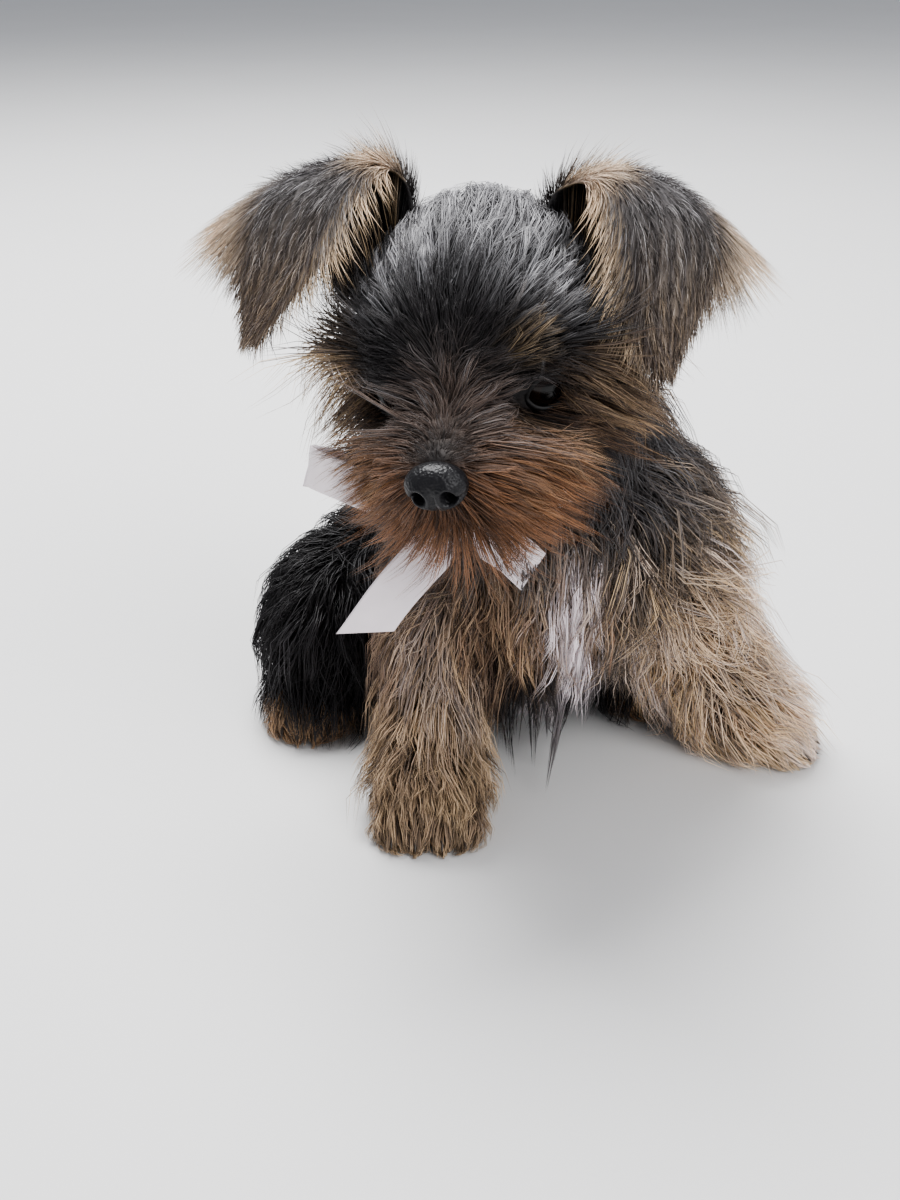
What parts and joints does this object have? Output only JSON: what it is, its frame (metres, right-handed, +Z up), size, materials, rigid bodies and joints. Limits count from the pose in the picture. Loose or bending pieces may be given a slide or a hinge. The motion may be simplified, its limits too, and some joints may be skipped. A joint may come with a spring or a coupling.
{
  "type": "yorkshire terrier puppy",
  "caption": "Life-size sitting long-coated terrier puppy with folded ears, its head turned a little and lowered, and a satin ribbon tied in a bow at its throat.",
  "frame": {"origin": "middle of the bounding box in plan, on the floor that the paws, rump and tail rest on", "axes": "+X to the puppy's left, +Y towards its tail, +Z up"},
  "size_m": [0.151, 0.1804, 0.1518],
  "materials": {
    "coat": "long, fine, slightly glossy hair",
    "tan_coat": "long, fine hair",
    "eye": "wet and glossy",
    "nose_leather": "moist, finely pebbled",
    "ribbon": "satin"
  },
  "bodies": {
    "root": {"head": "coat", "jaw": "tan_coat", "nose": "nose_leather", "eye_left": "eye", "eye_right": "eye", "ear_left_base": "coat", "ear_left_flap": "coat", "ear_right_base": "coat", "ear_right_flap": "coat", "neck": "coat", "torso": "coat", "foreleg_right": "tan_coat", "foreleg_left": "tan_coat", "paw_front_right": "tan_coat", "paw_front_left": "tan_coat", "thigh_right": "coat", "thigh_left": "coat", "hind_foot_right": "tan_coat", "hind_foot_left": "tan_coat", "tail": "coat", "ribbon_knot": "ribbon", "ribbon_band": "ribbon", "ribbon_loop_right": "ribbon", "ribbon_tail_right": "ribbon", "ribbon_loop_left": "ribbon", "ribbon_tail_left": "ribbon"}
  },
  "joints": []
}
